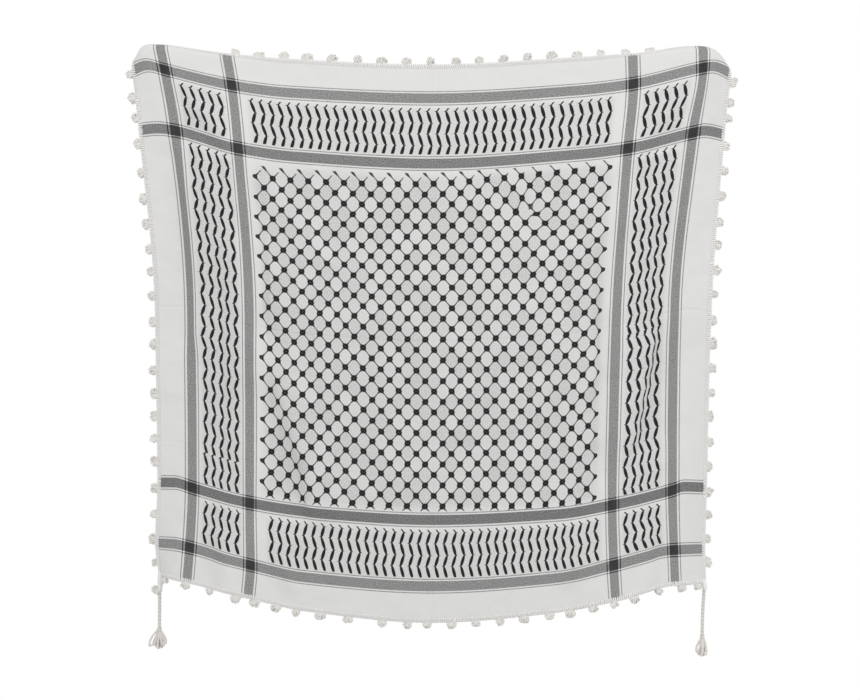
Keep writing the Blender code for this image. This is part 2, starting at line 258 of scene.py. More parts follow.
# The rows left of and right of the flaw are out of step by these shares of a net step
FLAW_SHIFTS = (-0.45, 0.55)
FLAW_RADIUS = 9
KNOT_HALVES = (6.8, 5.8)
LINE_HALF = 1.0
CHEVRON_REACH = 3.3
SPIKE_REACH = 4.9
LONG_LEG = 0.52
BAND_MIDDLES = (141.5, 1042.5)
BAND_PITCHES = (18.3, 17.6)
CENTRAL_FIRST = 242.0
CENTRAL_PITCH = 18.3
CENTRAL_LAST = 38
# First tip, length of two strokes and lower end of each set of chevrons
TOP_CHEVRONS = (96.0, 43.8, 179.5)
BOTTOM_CHEVRONS = (926.2, 43.3, 1011.5)
SIDE_CHEVRONS = (219.5, 42.0, 903.5)
SIDE_ROWS = (200, 886)
# Where the ground behind each set of chevrons is greyed
TOP_GROUND = (92, 182)
BOTTOM_GROUND = (925, 1014)
SIDE_GROUND = (224, 884)
# Where the weave slips in the left and the right side band, and by how much
SLIP_LEFT = (825, -21.0)
SLIP_RIGHT = (571, 17.5)
# Yarn colours
WHITE = (0.745, 0.741, 0.733)
BLACK = (0.012, 0.012, 0.013)
CREASES_DOWN = ((HEIGHT * 500, 1.0), (HEIGHT * 745, 0.55))


def smooth_curve(x, knots, values):
    """A curve through the knots that doesn't overshoot between them, straight beyond its ends."""
    knots, values = np.asarray(knots, float), np.asarray(values, float)
    step = np.diff(knots)
    rate = np.diff(values) / step
    turn = rate[:-1] * rate[1:]
    mean = 2 * turn / np.where(turn > 0, rate[:-1] + rate[1:], 1)
    slope = np.concatenate([rate[:1], np.where(turn > 0, mean, 0), rate[-1:]])
    i = np.clip(np.searchsorted(knots, x) - 1, 0, len(step) - 1)
    t = (x - knots[i]) / step[i]
    inside = np.clip(t, 0, 1)
    keep = (1 + 2 * inside) * (1 - inside) ** 2
    value = keep * values[i] + (1 - keep) * values[i + 1]
    value += step[i] * inside * (1 - inside) ** 2 * slope[i]
    value -= step[i] * inside**2 * (1 - inside) * slope[i + 1]
    return value + (t - inside) * step[i] * np.where(t < 0, slope[0], slope[-1])


def by_level(down, table):
    """Each column of a hanging table, read at every height in down."""
    return np.stack([smooth_curve(down, LEVELS, column) for column in zip(*table)], axis=1)


def fold_depth(across, down):
    total = np.zeros_like(across)
    for _, a0, d0, a1, d1, half_width, depth, way in FOLDS:
        length = math.hypot(a1 - a0, d1 - d0)
        along_a, along_d = (a1 - a0) / length, (d1 - d0) / length
        along = (across - a0) * along_a + (down - d0) * along_d
        off = (across - a0) * along_d - (down - d0) * along_a
        ease = np.clip(np.minimum(along, length - along) / FOLD_FADE, 0, 1)
        ease = ease * ease * (3 - 2 * ease)
        if way == "step":
            total += ease * depth * 0.5 * np.tanh(off / half_width) * np.exp(-np.abs(off) / STEP_FADE)
        else:
            total += ease * depth * np.exp(-((off / half_width) ** 2))
    return total


def survey():
    """Points of the uncurled hanging cloth on an even flat grid, as rows down of places across."""
    across = np.arange(-SURVEY_MARGIN, WIDTH + SURVEY_MARGIN + SURVEY_STEP, SURVEY_STEP)
    down = np.arange(-SURVEY_MARGIN, HEIGHT + SURVEY_MARGIN + SURVEY_STEP, SURVEY_STEP)
    points = np.zeros((len(down), len(across), 3))
    folds = fold_depth(*np.meshgrid(across, down))
    sideways, rise, depth = (by_level(down, table) for table in (SIDEWAYS, RISE, DEPTH))
    middle = smooth_curve(down, LEVELS, MIDDLE_Z)
    for row in range(len(down)):
        y = smooth_curve(across, PLACES, depth[row]) + folds[row]
        foreshortened = np.sqrt(np.clip(1 - np.gradient(y, across) ** 2, STEEPEST, 1))
        travel = np.concatenate([[0], np.cumsum((foreshortened[1:] + foreshortened[:-1]) / 2)])
        at_places = np.interp(PLACES, across, travel)
        points[row, :, 0] = smooth_curve(travel, at_places, sideways[row])
        points[row, :, 1] = y
        points[row, :, 2] = middle[row] + smooth_curve(across, PLACES, rise[row])
    return points


SURVEY = survey()


def uncurled(across, down):
    """Places on the cloth before its corners curl, read between the survey's points."""
    column = np.clip((across + SURVEY_MARGIN) / SURVEY_STEP, 0, SURVEY.shape[1] - SURVEY_END)
    row = np.clip((down + SURVEY_MARGIN) / SURVEY_STEP, 0, SURVEY.shape[0] - SURVEY_END)
    c, r = column.astype(int), row.astype(int)
    u, v = (column - c)[..., None], (row - r)[..., None]
    above = SURVEY[r, c] * (1 - u) + SURVEY[r, c + 1] * u
    below = SURVEY[r + 1, c] * (1 - u) + SURVEY[r + 1, c + 1] * u
    return above * (1 - v) + below * v


def past_curl(across, down):
    """How far past the nearest curl a flat place is, and the flat direction straight over it."""
    away_a, away_d, total = 0, 0, 0
    for _, a0, d0, a1, d1 in CURL_LINES:
        length = math.hypot(a1 - a0, d1 - d0)
        out_a, out_d = -(d1 - d0) / length, (a1 - a0) / length
        off = (across - a0) * out_a + (down - d0) * out_d
        weight = np.exp(np.clip(off, *CURL_SPAN) / CURL_BLEND)
        away_a, away_d, total = away_a + weight * out_a, away_d + weight * out_d, total + weight
    reach = CURL_BLEND * np.log(total) + CURL_RADIUS * math.pi / 2
    size = np.hypot(away_a, away_d)
    return reach, away_a / size, away_d / size


def unit(vectors):
    return vectors / np.linalg.norm(vectors, axis=-1, keepdims=True)


def hanging_point(across, down):
    """Takes flat places to places on the hanging cloth, curled corners included."""
    across, down = np.broadcast_arrays(np.asarray(across, float), np.asarray(down, float))
    reach, away_a, away_d = past_curl(across, down)
    reach = np.maximum(reach, 0)
    foot_a, foot_d = across - reach * away_a, down - reach * away_d
    foot = uncurled(foot_a, foot_d)
    near_a, near_d = CURL_PROBE * away_a, CURL_PROBE * away_d
    ahead = unit(uncurled(foot_a + near_a, foot_d + near_d) - foot)
    aside = uncurled(foot_a - near_d, foot_d + near_a) - foot
    back = unit(np.cross(ahead, aside))
    back *= np.sign(back[..., 1:2])
    angle = np.minimum(reach / CURL_RADIUS, CURL_LIMIT)
    straight = reach - angle * CURL_RADIUS
    forward = CURL_RADIUS * np.sin(angle) + straight * np.cos(angle)
    behind = CURL_RADIUS * (1 - np.cos(angle)) + straight * np.sin(angle)
    return foot + forward[..., None] * ahead + behind[..., None] * back


def facing(across, down):
    """The hanging cloth's own direction at flat places, from its face towards its back."""
    near = FACING_PROBE
    aside = hanging_point(across + near, down) - hanging_point(across - near, down)
    below = hanging_point(across, down + near) - hanging_point(across, down - near)
    return unit(np.cross(below, aside))


# ---------------------------------------------------------------- materials


class Field:
    """A number that changes over a surface, worked out by math nodes."""

    def __init__(self, tree, socket):
        self.tree, self.socket = tree, socket

    def does(self, operation, *others):
        node = self.tree.nodes.new("ShaderNodeMath")
        node.operation = operation
        for slot, value in zip(node.inputs, (self, *others)):
            if isinstance(value, Field):
                self.tree.links.new(value.socket, slot)
            else:
                slot.default_value = value
        return Field(self.tree, node.outputs[0])

    def __add__(self, other):
        return self.does("ADD", other)

    __radd__ = __add__

    def __sub__(self, other):
        return self.does("SUBTRACT", other)

    def __rsub__(self, other):
        return self.does("MULTIPLY", -1).does("ADD", other)

    def __mul__(self, other):
        return self.does("MULTIPLY", other)

    __rmul__ = __mul__

    def __truediv__(self, other):
        return self.does("DIVIDE", other)

    def __abs__(self):
        return self.does("ABSOLUTE")

    def below(self, edge, soft=0.35):
        """1 where the field is under edge, 0 where it is over it, with a soft change between."""
        node = self.tree.nodes.new("ShaderNodeMapRange")
        node.interpolation_type = "SMOOTHSTEP"
        self.tree.links.new(self.socket, node.inputs["Value"])
        node.inputs["From Min"].default_value = edge - soft
        node.inputs["From Max"].default_value = edge + soft
        node.inputs["To Min"].default_value = 1
        node.inputs["To Max"].default_value = 0
        return Field(self.tree, node.outputs[0])

    def above(self, edge, soft=0.35):
        return 1 - self.below(edge, soft)

    def between(self, low, high, soft=0.35):
        return abs(self - (low + high) / 2).below((high - low) / 2, soft)


def material(name, roughness, sheen=0.0):
    """A new node material, with its tree and its shader."""
    found = bpy.data.materials.new(name)
    found.use_nodes = True
    tree = found.node_tree
    shader = tree.nodes["Principled BSDF"]
    shader.inputs["Roughness"].default_value = roughness
    shader.inputs["Sheen Weight"].default_value = sheen
    shader.inputs["Sheen Roughness"].default_value = 0.5
    shader.inputs["Specular IOR Level"].default_value = 0.1
    return found, tree, shader


def noise(tree, vector, scale, detail=2.0):
    node = tree.nodes.new("ShaderNodeTexNoise")
    node.inputs["Scale"].default_value = scale
    node.inputs["Detail"].default_value = detail
    tree.links.new(vector, node.inputs["Vector"])
    return Field(tree, node.outputs["Fac"])


def bump(tree, shader, height, distance, strength=1.0):
    node = tree.nodes.new("ShaderNodeBump")
    node.inputs["Distance"].default_value = distance
    node.inputs["Strength"].default_value = strength
    tree.links.new(height.socket, node.inputs["Height"])
    tree.links.new(node.outputs["Normal"], shader.inputs["Normal"])


def mixed_colour(tree, shader, amount, first, second):
    node = tree.nodes.new("ShaderNodeMix")
    node.data_type = "RGBA"
    node.inputs[6].default_value = (*first, 1)
    node.inputs[7].default_value = (*second, 1)
    tree.links.new(amount.socket, node.inputs[0])
    tree.links.new(node.outputs[2], shader.inputs["Base Color"])


def bars(place, middle, centre, half_gap):
    """Distance from the nearest of two pairs of bars, laid out evenly about the middle."""
    return abs(abs(abs(place - middle) - centre) - half_gap)


def stripes(distance, half):
    """Where one set of bars is solid, and where its pinstripes are."""
    solid = distance.below(half, 0.5)
    pin = abs(distance - PIN_OFFSET).below(PIN_HALF, 0.55)
    return solid, pin


def zigzag(u, v, first_tip, turn_length, until, lean):
    """Columns of leaf-shaped strokes that zigzag downwards, each starting with a short hook.

    u is measured from the column's middle, lean is -1 where the first tip is on the left, and
    turn_length is the length of two strokes. Strokes that fall to the right are the longer ones.
    """
    first = LONG_LEG if lean < 0 else 1 - LONG_LEG
    turn = (v - first_tip) / turn_length
    part = turn.does("FRACT")
    falling = part.below(first, 0.0005)
    part = part / first * falling + (part - first) / (1 - first) * (1 - falling)
    wave = (1 - part * 2) * (falling * 2 - 1) * (lean * CHEVRON_REACH)
    hook = (turn * (turn_length * 0.78) + CHEVRON_REACH) * lean
    early = turn.below(0, 0.002)
    line = wave + (hook - wave) * early
    swelling = (part.does("POWER", 1.1) * math.pi).does("SINE").does("MAXIMUM", 0)
    half = swelling.does("POWER", 0.34) * 2.85 + 0.35
    half = half + (1.6 - half) * early
    off = abs(u - line) * 0.90 - half
    last = (until - first_tip) / turn_length
    stroke = off.below(0, 0.45) * turn.between(-6.4 / turn_length, last, 0.014)
    spike = 0
    for at, side in ((0.0, lean), (first, -lean)):
        near = turn - at
        near = abs(near - near.does("ROUND")) * turn_length
        one = (abs(u * side - SPIKE_REACH) * 0.42).does("MAXIMUM", near).below(0.95, 0.5)
        spike = one if side == lean else one.does("MAXIMUM", spike)
    return stroke.does("MAXIMUM", spike * turn.between(-0.05, last - 0.05, 0.01))


def net(u, v):
    """A net of thin lines with a knot of two strokes at each crossing, and one flaw in its rows."""
    # The net wanders from its even layout
    aside = (u - NET_MIDDLE[0]) / NET_HALF
    high = v.below(290, 70)
    left_share = ((0.62 - aside) / 1.1).does("MAXIMUM", 0).does("MINIMUM", 1)
    u = u + left_share * (1 - high) * WANDER_LEFT + high * WANDER_TOP
    down_share = aside.does("MINIMUM", 0.35) * v.below(380, 150)
    up_share = aside.above(0.42, 0.14) * (1 - high * 0.5)
    v = v + down_share * WANDER_DOWN - up_share * WANDER_UP - WANDER_ALL
    from_flaw, under_flaw = u - FLAW[0], v - FLAW[1]
    angle = from_flaw.does("ARCTAN2", under_flaw)
    left = ((angle * -1 - 1.4) / 1.74).does("MAXIMUM", 0) * FLAW_SHIFTS[0]
    right = ((angle - 0.26) / 1.66).does("MAXIMUM", 0).does("MINIMUM", 1) * FLAW_SHIFTS[1]
    shift = left + right
    p_flat = (u - NET_MIDDLE[0]) / NET_PITCH[0] - 0.5
    q_flat = (v - NET_MIDDLE[1]) / NET_PITCH[1]
    p, q = p_flat - shift, q_flat - shift
    a, b = (p + q) * 0.5, (q - p) * 0.5
    near_a, near_b = a.does("ROUND"), b.does("ROUND")
    knot_p, knot_q = near_a - near_b, near_a + near_b
    apart = 2 / math.hypot(1 / NET_PITCH[0], 1 / NET_PITCH[1])
    inner = p.between(NET_COLUMNS[0], NET_COLUMNS[1], 0.05)
    rising = abs(a - near_a) * apart
    falling = abs(b - near_b) * apart
    stub = q_flat.between(NET_ROWS[0] - 0.75, NET_ROWS[1] + 0.48, 0.06)
    tall = q_flat.between(NET_ROWS[0] - 1.2, NET_ROWS[1] + 0.48, 0.06)
    tilt = abs(knot_q).does("MODULO", 2) * -2 + 1
    x, y = (p - knot_p) * NET_PITCH[0], (q - knot_q) * NET_PITCH[1] * tilt
    swell = (1 - (x * x + y * y).does("SQRT") / 10.5).does("MAXIMUM", 0) * 2.4
    rising_line = (rising - swell).below(LINE_HALF, 0.5)
    falling_line = (falling - swell).below(LINE_HALF, 0.5)
    lines = (rising_line * stub).does("MAXIMUM", falling_line * tall) * inner
    along, wide = x * 0.86 + y * 0.51, y * 0.86 - x * 0.51
    oval = (along * along / KNOT_HALVES[0] ** 2 + wide * wide / KNOT_HALVES[1] ** 2).does("SQRT")
    first_column, last_column = NET_COLUMNS
    from_middle = abs(knot_p - (first_column + last_column) / 2)
    outermost = from_middle.above((last_column - first_column) / 2 - 0.4, 0.05)
    oval = oval * (1 + outermost * 0.35)
    gap = abs(wide).below(0.35, 0.4) * abs(along).below(2.2, 0.5)
    knot = oval.below(1.0, 0.10) * (1 - gap * 0.22)
    knot = knot * (knot_q + shift).between(NET_ROWS[0] - 0.65, NET_ROWS[1] + 0.5, 0.05)
    knot = knot * knot_p.between(NET_COLUMNS[0] - 0.5, NET_COLUMNS[1] + 0.5, 0.05)
    flaw = (from_flaw * from_flaw + under_flaw * under_flaw).does("SQRT")
    knot = knot * flaw.above(FLAW_RADIUS, 2)
    # Each cell of the net has its own tone, paler where its floats lie behind
    cell = a.does("FLOOR") * 12.99 + b.does("FLOOR") * 78.23
    tone = (cell.does("SINE") * 437.5).does("FRACT")
    return (lines * 0.94).does("MAXIMUM", knot), tone


def cloth_look():
    look, tree, shader = material("Woven cotton", 0.94, 0.02)
    place = tree.nodes.new("ShaderNodeAttribute")
    place.attribute_name = "flat_place"
    split = tree.nodes.new("ShaderNodeSeparateXYZ")
    tree.links.new(place.outputs["Vector"], split.inputs[0])
    u, v = Field(tree, split.outputs[0]), Field(tree, split.outputs[1])

    column = bars(u, WIDTH * 500, 452.5, 65.0)
    row = bars(v, 549.0, 415.5, 63.5)
    solid_u, pin_u = stripes(column, BAR_HALF_ACROSS)
    solid_v, pin_v = stripes(row, BAR_HALF_DOWN)
    warp = (solid_u * 0.63).does("MAXIMUM", pin_u * 0.62)
    inner_row = v.between(150, 950, 1)
    low = v.above(HEIGHT * 500, 1)
    # The inner weft bar in the lower half is made 0.04 darker: painted shade, because the lower cloth
    # hangs in deeper shade
    weft = (solid_v * (0.64 + inner_row * (0.07 + low * 0.04))).does("MAXIMUM", pin_v * 0.62)
    bars_dark = (warp + weft).does("MINIMUM", 0.955)

    # Chevron columns: five in each side band, thirty-nine between the inner bars
    middle = abs(u - WIDTH * 500)
    inside = middle.below(376, 0.5)
    aside = (u - WIDTH * 500) / NET_HALF
    above_net = (1 - abs(aside - 0.3)).does("MAXIMUM", 0) * -5
    below_net = 8.2 + (1 - aside * aside) * 4.3
    central = (u - CENTRAL_FIRST - above_net * (1 - low) - below_net * low) / CENTRAL_PITCH
    half_count = CENTRAL_LAST / 2
    soft_rows = abs(central - half_count).below(half_count + 0.5, 0.45)
    in_rows = abs(central.does("ROUND") - half_count).below(half_count + 0.4, 0.05)
    central = (central - central.does("ROUND")) * CENTRAL_PITCH
    right = u.above(WIDTH * 500, 1)
    pitch = right * (BAND_PITCHES[1] - BAND_PITCHES[0]) + BAND_PITCHES[0]
    side_u = (u - BAND_MIDDLES[0] - right * (BAND_MIDDLES[1] - BAND_MIDDLES[0])) / pitch
    nearest = side_u.does("ROUND")
    soft_five = abs(side_u).below(2.5, 0.4) * (1 - inside)
    in_five = abs(nearest).below(2.4, 0.05) * middle.between(395, 515, 0.5)
    side_u = (side_u - nearest) * pitch
    local = central * inside + side_u * (1 - inside)
    in_columns = (inside * in_rows).does("MAXIMUM", in_five)
    top = zigzag(local, v, *TOP_CHEVRONS, -1) * in_columns
    bottom = zigzag(local, v, *BOTTOM_CHEVRONS, 1) * in_columns
    # The weave slips in each side band: it skips some way on the right and repeats some on the left
    slip = right * v.above(SLIP_RIGHT[0], 0.5) * SLIP_RIGHT[1]
    slip = slip + (1 - right) * v.above(SLIP_LEFT[0], 0.5) * SLIP_LEFT[1]
    sides = zigzag(local, v + slip, *SIDE_CHEVRONS, -1) * in_five * v.between(*SIDE_ROWS, 0.5)
    motifs = top.does("MAXIMUM", bottom).does("MAXIMUM", sides)

    in_net = middle.below(372, 1.0) * v.between(212.5, 887, 1.5)
    knots, tone = net(u, v)
    motifs = motifs.does("MAXIMUM", knots * in_net)

    # Floats behind the motifs grey the ground a little
    ground = middle.below(356, 14) * v.between(222, 878, 14)
    band_rows = v.between(*TOP_GROUND, 6).does("MAXIMUM", v.between(*BOTTOM_GROUND, 6))
    bands = (inside * soft_rows).does("MAXIMUM", soft_five) * band_rows
    side_bands = soft_five * v.between(*SIDE_GROUND, 6)
    greyed = (ground * (0.07 + tone * 0.13)).does("MAXIMUM", bands.does("MAXIMUM", side_bands) * 0.12)

    # Yarn: a twill speckle in the dark stripes, and uneven threads everywhere
    threads = noise(tree, place.outputs["Vector"], 0.5, 3.0) - 0.5
    slubs = noise(tree, place.outputs["Vector"], 0.05, 3.0) - 0.5
    speckle = threads * bars_dark.between(0.3, 0.8, 0.15) * 0.95
    dark = bars_dark + speckle + threads * 0.10 + slubs * 0.05
    dark = dark.does("MAXIMUM", greyed + threads * greyed * 6).does("MAXIMUM", motifs * 0.985)
    dark = dark.does("MAXIMUM", 0).does("MINIMUM", 1)
    mixed_colour(tree, shader, dark, WHITE, BLACK)

    across_threads = (u * (2 * math.pi / 1.1)).does("SINE") * (v * (2 * math.pi / 1.1)).does("SINE")
    fold_line = abs(u - WIDTH * 500).below(0, 5)
    for at, amount in CREASES_DOWN:
        fold_line = fold_line + abs(v - at).below(0, 5) * amount
    rumples = noise(tree, place.outputs["Vector"], 0.017, 1.5) - 0.5
    height = across_threads * 0.12 + threads * 0.35 + fold_line * 2.4 + rumples * 11
    bump(tree, shader, height, 0.0006)
    return look


def yarn_look(name, light, dark, scale, distance):
    """Soft cotton yarn: uneven tone, and a fibrous surface."""
    look, tree, shader = material(name, 0.95, 0.2)
    place = tree.nodes.new("ShaderNodeTexCoord").outputs["Object"]
    mixed_colour(tree, shader, noise(tree, place, scale, 4.0), light, dark)
    bump(tree, shader, noise(tree, place, scale * 4, 2.0), distance)
    return look


def plain_look(name, colour):
    look, _, shader = material(name, 0.9)
    shader.inputs["Base Color"].default_value = (*colour, 1)
    return look


# ---------------------------------------------------------------- shapes


def piece_of(name, points, faces, look, slot, nodes):
    """A smooth mesh piece that stands for the given nodes of the part."""
    mesh = bpy.data.meshes.new(name)
    mesh.from_pydata(points.reshape(-1, 3).tolist(), [], faces.reshape(-1, 3).tolist())
    mesh.materials.append(look)
    mesh.shade_smooth()
    piece = bpy.data.objects.new(name, mesh)
    bpy.context.scene.collection.objects.link(piece)
    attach(piece, "root")
    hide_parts(*nodes)
    return piece


def tubes(paths, radii, sides, reference):
    """Closed tubes along many paths of equal length, as (points, triangles).

    radii is one per point of a path, and reference a direction for each path that it never takes.
    """
    count, steps, _ = paths.shape
    along = unit(np.gradient(paths, axis=1))
    across = unit(np.cross(along, reference[:, None, :]))
    upward = np.cross(across, along)
    turn = np.arange(sides) * 2 * math.pi / sides
    ring = across[:, :, None] * np.cos(turn)[:, None] + upward[:, :, None] * np.sin(turn)[:, None]
    rings = paths[:, :, None] + ring * np.asarray(radii)[..., None, None]
    points = np.concatenate([rings.reshape(count, -1, 3), paths[:, [0, -1]]], axis=1)
    step, side = np.meshgrid(np.arange(steps - 1), np.arange(sides), indexing="ij")
    here, beside = step * sides + side, step * sides + (side + 1) % sides
    walls = np.stack([here, beside, beside + sides, here, beside + sides, here + sides], axis=-1)
    turns = np.arange(sides)
    first = np.stack([np.full(sides, steps * sides), (turns + 1) % sides, turns], axis=-1)
    far = (steps - 1) * sides
    last = np.stack([np.full(sides, steps * sides + 1), far + turns, far + (turns + 1) % sides], axis=-1)
    faces = np.concatenate([walls.reshape(-1, 3), first, last])
    faces = faces[None] + (np.arange(count) * points.shape[1])[:, None, None]
    return points.reshape(-1, 3), faces.reshape(-1, 3)


def joined(shapes):
    """Several (points, triangles) as one."""
    points, faces, start = [], [], 0
    for some_points, some_faces in shapes:
        points.append(some_points)
        faces.append(some_faces + start)
        start += len(some_points)
    return np.concatenate(points), np.concatenate(faces)


def make_camera():
    camera = bpy.data.objects.new("camera", bpy.data.cameras.new("camera"))
    camera.data.lens = 110
    camera.location = (0.001, -5.192, -0.605)
    camera.rotation_euler = (math.pi / 2, 0, 0)
    bpy.context.scene.collection.objects.link(camera)
    bpy.context.scene.camera = camera


def make_light(name, location, target, size, power):
    light = bpy.data.objects.new(name, bpy.data.lights.new(name, "AREA"))
    light.data.shape = "DISK"
    light.data.size = size
    light.data.energy = power
    light.location = location
    way = np.array(target) - np.array(location)
    flat = math.hypot(way[0], way[1])
    light.rotation_euler = (math.atan2(flat, -way[2]), 0, math.atan2(-way[0], way[1]))
    bpy.context.scene.collection.objects.link(light)


def make_studio():
    floor_mesh = bpy.data.meshes.new("floor")
    turns = np.arange(64) * 2 * math.pi / 64
    rim = np.stack([2.0 * np.cos(turns), 2.0 * np.sin(turns), np.zeros(64)], axis=1)
    floor_mesh.from_pydata(rim.tolist(), [], [list(range(64))])
    floor_mesh.materials.append(plain_look("Floor", (0.8, 0.8, 0.8)))
    floor = bpy.data.objects.new("floor", floor_mesh)
    floor.location = (0, 0, -1.6)
    bpy.context.scene.collection.objects.link(floor)

    world = bpy.data.worlds.new("studio")
    world.use_nodes = True
    nodes, links = world.node_tree.nodes, world.node_tree.links
    nodes.clear()
    out = nodes.new("ShaderNodeOutputWorld")
    seen, light = nodes.new("ShaderNodeBackground"), nodes.new("ShaderNodeBackground")
    seen.inputs["Strength"].default_value = 1.0
    light.inputs["Strength"].default_value = 0.68
    seen.inputs["Color"].default_value = light.inputs["Color"].default_value = (1, 1, 1, 1)
    ray, mix = nodes.new("ShaderNodeLightPath"), nodes.new("ShaderNodeMixShader")
    links.new(ray.outputs["Is Camera Ray"], mix.inputs[0])
    links.new(light.outputs[0], mix.inputs[1])
    links.new(seen.outputs[0], mix.inputs[2])
    links.new(mix.outputs[0], out.inputs[0])
    bpy.context.scene.world = world
    bpy.context.scene.view_settings.view_transform = "Standard"
    make_light("key", (-2.4, -3.0, 1.9), (0, 0, -0.4), 2.2, 52)
    make_light("fill", (2.8, -2.6, 1.2), (0.2, 0, -0.4), 2.2, 46)


def make_tassels(cord_look):
    """The four plied cords and their loose yarn ends, with each cord's route."""
    random = np.random.default_rng(11)
    cords, ends = [], []
    for corner, across, down, below, sway, swing, length in TASSELS:
        top = hanging_point(across, down) - np.array([0, 0, below])
        drop = math.sqrt(length**2 - sway**2 - swing**2)

        def route(fall):
            lean = 1 - (1 - fall) ** 2
            return top + np.stack([sway * lean, swing * lean, -drop * fall], axis=-1)

        fall = np.linspace(0, 1, 120)
        middle = route(fall)
        twist = fall * length / PLY_PITCH * 2 * math.pi
        plies = []
        for ply in range(2):
            turn = twist + ply * math.pi
            offset = np.stack([np.cos(turn), np.sin(turn), np.zeros_like(turn)], axis=1)
            plies.append(middle + PLY_OFFSET * offset)
        plies = np.array(plies)
        radii = np.full(fall.shape, PLY_RADIUS)
        radii[[0, -1]] = 0.0012
        # The plies run mostly downwards, so their sections are turned about a level direction
        shape = tubes(plies, np.tile(radii, (2, 1)), 10, np.tile([0.35, 1.0, 0.0], (2, 1)))
        name = f"tassel_cord_{corner}"
        cord = piece_of(name, *shape, cord_look, "tassel_cord", [name])
        cords.append((cord, route(np.linspace(0, 1, round(length / CORD_STEP) + 1)), length))

        # Loops hang from the end, wound once round by a binding
        end = middle[-1]
        shapes = []
        for sideways, reach, turned in END_LOOPS[corner]:
            t = np.linspace(0, 1, 40)
            belly = np.sin(math.pi * t)
            open_by = (0.0055 if sideways < -0.015 else 0.0025) + 0.001 * random.random()
            spread = np.sin(2 * math.pi * t) * open_by
            towards = turned * 2 * math.pi
            x = sideways * belly**0.9 + spread * math.cos(towards)
            y = 0.004 * math.sin(towards) * belly + spread * 0.6 * math.sin(towards)
            wobble = 0.0008 * np.sin(2 * math.pi * (2.3 * t + random.random()))
            path = end + np.stack([x + wobble, y, -reach * belly], axis=1)
            sideward = np.array([[0.2, 1.0, 0.1]])
            shapes.append(tubes(path[None], np.full((1, 40), LOOP_RADIUS), 7, sideward))
        t = np.linspace(0, 1, 60)
        wind = 2 * math.pi * 3.2 * t
        round_x, round_y = BINDING_REACH * np.cos(wind), BINDING_REACH * np.sin(wind)
        coil = end + np.stack([round_x, round_y, 0.001 - 0.006 * t], axis=1)
        shapes.append(tubes(coil[None], np.full((1, 60), BINDING_RADIUS), 7, np.array([[0.0, 0.0, 1.0]])))
        ends.append(
            piece_of(f"tassel_{corner}", *joined(shapes), cord_look, "tassel_cord", [f"tassel_{corner}"])
        )


def make_cloth(look):
    """A thin closed shell: the face and the back of one sheet, with a rim between them."""
    columns, rows = ((214, 200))
    across, down = np.meshgrid(
        np.linspace(SHELL_INSET, WIDTH - SHELL_INSET, columns),
        np.linspace(SHELL_INSET, HEIGHT - SHELL_INSET, rows),
    )
    outward = facing(across, down)
    middle = hanging_point(across, down)
    face = (middle - outward * SHELL_WALL / 2).reshape(-1, 3)
    back = (middle + outward * SHELL_WALL / 2).reshape(-1, 3)
    index = np.arange(rows * columns).reshape(rows, columns)
    one, two = index[:-1, :-1].ravel(), index[:-1, 1:].ravel()
    three, four = index[1:, 1:].ravel(), index[1:, :-1].ravel()
    sheet = np.concatenate([np.stack([one, four, three], 1), np.stack([one, three, two], 1)])
    rim = np.concatenate([index[0, :], index[1:, -1], index[-1, -2::-1], index[-2::-1, 0]])
    ahead = rim[1:]
    rim = rim[:-1]
    total = rows * columns
    band = np.concatenate(
        [np.stack([rim, ahead, ahead + total], 1), np.stack([rim, ahead + total, rim + total], 1)]
    )
    faces = np.concatenate([sheet, sheet[:, ::-1] + total, band])
    piece = piece_of("cloth", np.concatenate([face, back]), faces, look, "woven_cotton", ["cloth"])
    mesh = piece.data
    flat = np.stack([across.ravel() * 1000, down.ravel() * 1000, np.zeros(total)], axis=1)
    flat = np.concatenate([flat, flat])
    mesh.attributes.new("flat_place", "FLOAT_VECTOR", "POINT").data.foreach_set("vector", flat.ravel())
    corners = np.empty(len(mesh.loops), np.int32)
    mesh.loops.foreach_get("vertex_index", corners)
    side = max(WIDTH, HEIGHT) * 1000
    places = np.stack([flat[corners, 0] / side, 1 - flat[corners, 1] / side], axis=1)
    mesh.uv_layers.new(name="OFBake").data.foreach_set("uv", places.ravel())
    return piece


def side_frame(side, along, beyond):
    """Flat places at a distance beyond one side of the cut, along it from its left or top end."""
    along, beyond = np.broadcast_arrays(along, beyond)
    if side == "top":
        return along, -beyond
    if side == "bottom":
        return along, HEIGHT + beyond
    if side == "left":
        return -beyond, along
    return WIDTH + beyond, along


